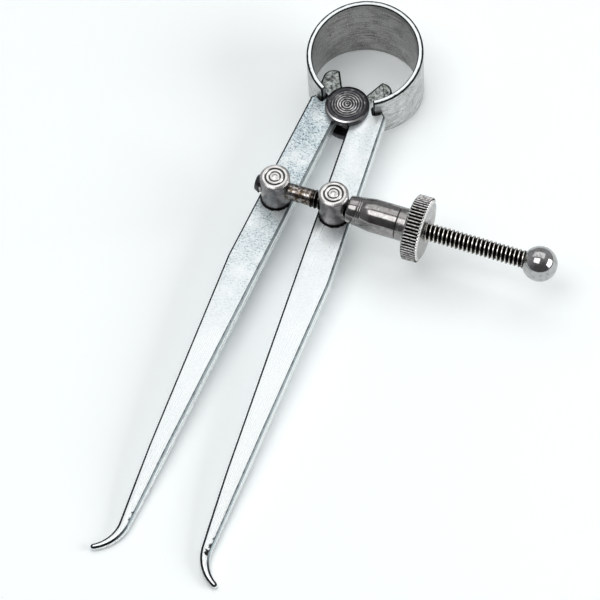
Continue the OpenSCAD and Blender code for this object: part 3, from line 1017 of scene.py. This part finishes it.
class CALIPER_OT_ball_end(bpy.types.Operator):
    """Models the polished ball that ends the screw, with its flat and the hole for the neck"""
    bl_idname = "caliper.ball_end"
    bl_label = "Ball end"

    def execute(self, context):
        s = settings().screw
        centre = stations().ball
        start, steps = math.acos((s.ball_x - centre) / s.ball_r), 40
        hole, deep = PIN_R + 0.02 * MM, s.ball_x + PIN_L + 0.2 * MM
        profile = [(0, deep, 0), (hole, deep, 0), (hole, s.ball_x, 0),
                   (s.ball_r * math.sin(start), s.ball_x, 0.1 * MM)]
        for k in range(1, steps + 1):
            a = start * (1 - k / steps)
            profile.append((s.ball_r * math.sin(a), centre + s.ball_r * math.cos(a), 0))
        made = turned("ball_end_polished", profile, on_screw(), "X")
        done(made, "screw", "ball_end", polished_steel())
        return {"FINISHED"}


class CALIPER_OT_sleeve(bpy.types.Operator):
    """Models the tapered sleeve between the right post and the nut"""
    bl_idname = "caliper.sleeve"
    bl_label = "Tapered sleeve"

    def execute(self, context):
        s, c = settings().screw, settings().colours
        nose, seam = stations().nose, stations().seam
        hole, soft, cut, cut_r = s.radius + RUN, 0.08 * MM, 0.12 * MM, 0.03 * MM
        profile = [(hole, nose, soft), (s.nose_r, nose, 0.15 * MM)]
        # fine rings turned into the cone
        for run in (1.9 * MM, 2.3 * MM, 2.7 * MM):
            for step, deep in ((-0.1 * MM, 0), (0, 0.07 * MM), (0.1 * MM, 0)):
                wide = s.nose_r + (s.sleeve_r - s.nose_r) * (run + step) / s.nose_l - deep
                profile.append((wide, nose + run + step, 0))
        profile += [(s.sleeve_r, nose + s.nose_l, 2 * MM), (s.sleeve_r, seam - cut, cut_r),
                    (s.sleeve_r - cut, seam, cut_r), (hole, seam, soft)]
        made = turned("tapered_sleeve_turned", profile, on_screw(), "X", 112)
        finish = turned_steel("polished turned steel, sleeve", c.turned, c.bright, on_screw(), "X", 0.13, 0.0)
        done(made, "sleeve", "tapered_sleeve", finish)
        return {"FINISHED"}


class CALIPER_OT_thumb_nut(bpy.types.Operator):
    """Models the thumb nut: a turned hub and a rim with straight knurl teeth and bevelled faces"""
    bl_idname = "caliper.thumb_nut"
    bl_label = "Thumb nut"

    def execute(self, context):
        s, c = settings().screw, settings().colours
        _, y, z = on_screw()
        hub, rim = stations().hub, stations().rim
        far, r, deep, hole = rim + s.knurl_w, s.knurl_r, s.knurl_h, s.radius + RUN
        soft, cut, cut_r, bevel_r, bevel_w, sink = (v * MM for v in (0.06, 0.12, 0.03, 0.75, 0.4, 0.3))
        profile = rounded([(hole, hub, soft), (s.sleeve_r - cut, hub, cut_r), (s.sleeve_r, hub + cut, cut_r),
                           (s.sleeve_r, rim, 0.25 * MM), (r - bevel_r, rim, soft), (r, rim + bevel_w, soft),
                           (r, far - bevel_w, soft), (r - bevel_r, far, 0.12 * MM), (hole + sink, far, soft),
                           (hole, far - sink, soft)])
        profile.append(profile[0])
        # height of the points of one tooth, as shares of its depth
        tooth = (0.0, 0.0, 0.25, 0.85, 1.0, 1.0, 0.85, 0.25, 0.0, 0.0)
        count = s.teeth * len(tooth)
        rings = []
        for p in profile:
            groove = clamp((p.x - (r - deep - 0.1 * MM)) / (0.5 * deep)) * deep
            ring = []
            for i in range(count + 1):
                a = math.tau * (i % count) / count
                out = min(p.x, r) - groove * (1 - tooth[i % len(tooth)])
                ring.append((p.y, y + out * math.cos(a), z + out * math.sin(a)))
            rings.append(ring)
        made = sheet("thumb_nut_knurled", rings)
        close(made)
        marks = [(r - k) * PER_MM for k in (0.6 * deep, 0.05 * deep, 1.05 * deep, 0.8 * MM)]
        finish = turned_steel("knurled steel, nut", c.turned, c.bright, (0, y, z), "X", 0.22, 0.08,
                              grooves=marks)
        done(made, "nut", "thumb_nut", finish, 42)
        return {"FINISHED"}


class CALIPER_OT_stage(bpy.types.Operator):
    """Makes the pale floor that the tool lies on, soft studio lamps and the camera"""
    bl_idname = "caliper.stage"
    bl_label = "Stage"

    def execute(self, context):
        c, scene = settings().colours, context.scene
        scene.view_settings.view_transform = "Standard"
        deselect()
        bpy.ops.mesh.primitive_plane_add(size=FLOOR_SIZE, location=FLOOR_AT,
                                         rotation=(-math.atan(FLOOR_SLOPE), 0, 0))
        floor = bpy.context.object
        floor.name = "floor"
        # what the eye and the metal see of the matt floor is lifted to white, and keeps its shadows
        made = bpy.data.materials.new("pale matt floor")
        node = cleared(made)
        seen = node("Math MAXIMUM", *node("LightPath", out=("Is Camera Ray", "Is Glossy Ray")))
        lift = node("Math MULTIPLY", seen, FLOOR_LIFT)
        node("OutputMaterial", node("BsdfPrincipled", c.floor, 0.0, 0.9, **{
            "Specular IOR Level": 0.1, "Emission Color": c.floor, "Emission Strength": lift}))
        floor.data.materials.append(made)

        # a grey room for the metal, and white behind everything for the eye
        scene.world = bpy.data.worlds.new("grey room")
        node = cleared(scene.world)
        front = node("VectorMath DOT_PRODUCT", node("TexCoord", out="Generated"), ROOM_FRONT)
        tone = node("Mix RGBA", node("MapRange", front, -0.3, 0.7), c.room, c.room_dark)
        room, white = node("Background", tone, 1.0), node("Background", (1, 1, 1), 1.0)
        node("OutputWorld", node("MixShader", node("LightPath", out="Is Camera Ray"), room, white))

        for name, spot, way, wide, deep, radiance in LAMPS:
            deselect()
            bpy.ops.object.light_add(type="AREA", location=spot)
            lamp = bpy.context.object
            lamp.name = name
            lamp.data.shape = "RECTANGLE"
            lamp.data.size, lamp.data.size_y = wide, deep
            lamp.data.energy = math.pi * wide * deep * radiance
            lamp.rotation_euler = Vector(way).to_track_quat("Z", "Y").to_euler()

        turn, rise, roll = (math.radians(v) for v in CAMERA_ANGLES)
        view = Matrix.Rotation(turn, 3, "Z") @ Matrix.Rotation(math.pi / 2 - rise, 3, "X")
        view = view @ Matrix.Rotation(roll, 3, "Z")
        eye = Vector((*CAMERA_AIM, levels().middle)) + view @ Vector((0, 0, CAMERA_AWAY))
        bpy.ops.object.camera_add()
        camera = bpy.context.object
        camera.matrix_world = Matrix.LocRotScale(eye, view, None)
        camera.data.sensor_width = SENSOR_WIDTH
        camera.data.lens = SENSOR_WIDTH * CAMERA_FOCUS / PICTURE_WIDTH
        camera.data.clip_start, camera.data.clip_end = 0.01, 20
        scene.camera = camera
        return {"FINISHED"}


class CALIPER_PT_panel(bpy.types.Panel):
    """Lists the caliper's pieces in the sidebar"""
    bl_idname = "CALIPER_PT_panel"
    bl_label = "Inside spring caliper"
    bl_space_type = "VIEW_3D"
    bl_region_type = "UI"
    bl_category = "Caliper"

    def draw(self, context):
        for step in STEPS:
            self.layout.operator(step.bl_idname)


STEPS = (CALIPER_OT_stage, CALIPER_OT_legs, CALIPER_OT_bow_spring, CALIPER_OT_fulcrum_stud, CALIPER_OT_posts,
         CALIPER_OT_cross_screw, CALIPER_OT_ball_end, CALIPER_OT_sleeve, CALIPER_OT_thumb_nut)
CLASSES = (CaliperLegs, CaliperSpring, CaliperTurned, CaliperScrew, CaliperColours, CaliperSettings,
           *STEPS, CALIPER_PT_panel)


def register():
    for each in CLASSES:
        bpy.utils.register_class(each)
    bpy.types.Scene.caliper = bpy.props.PointerProperty(type=CaliperSettings)


def unregister():
    del bpy.types.Scene.caliper
    for each in reversed(CLASSES):
        bpy.utils.unregister_class(each)


def main():
    register()
    bpy.ops.caliper.stage()
    bpy.ops.caliper.legs()
    bpy.ops.caliper.bow_spring()
    bpy.ops.caliper.fulcrum_stud()
    bpy.ops.caliper.posts()
    bpy.ops.caliper.cross_screw()
    bpy.ops.caliper.ball_end()
    bpy.ops.caliper.sleeve()
    bpy.ops.caliper.thumb_nut()


if __name__ == "__main__":
    main()
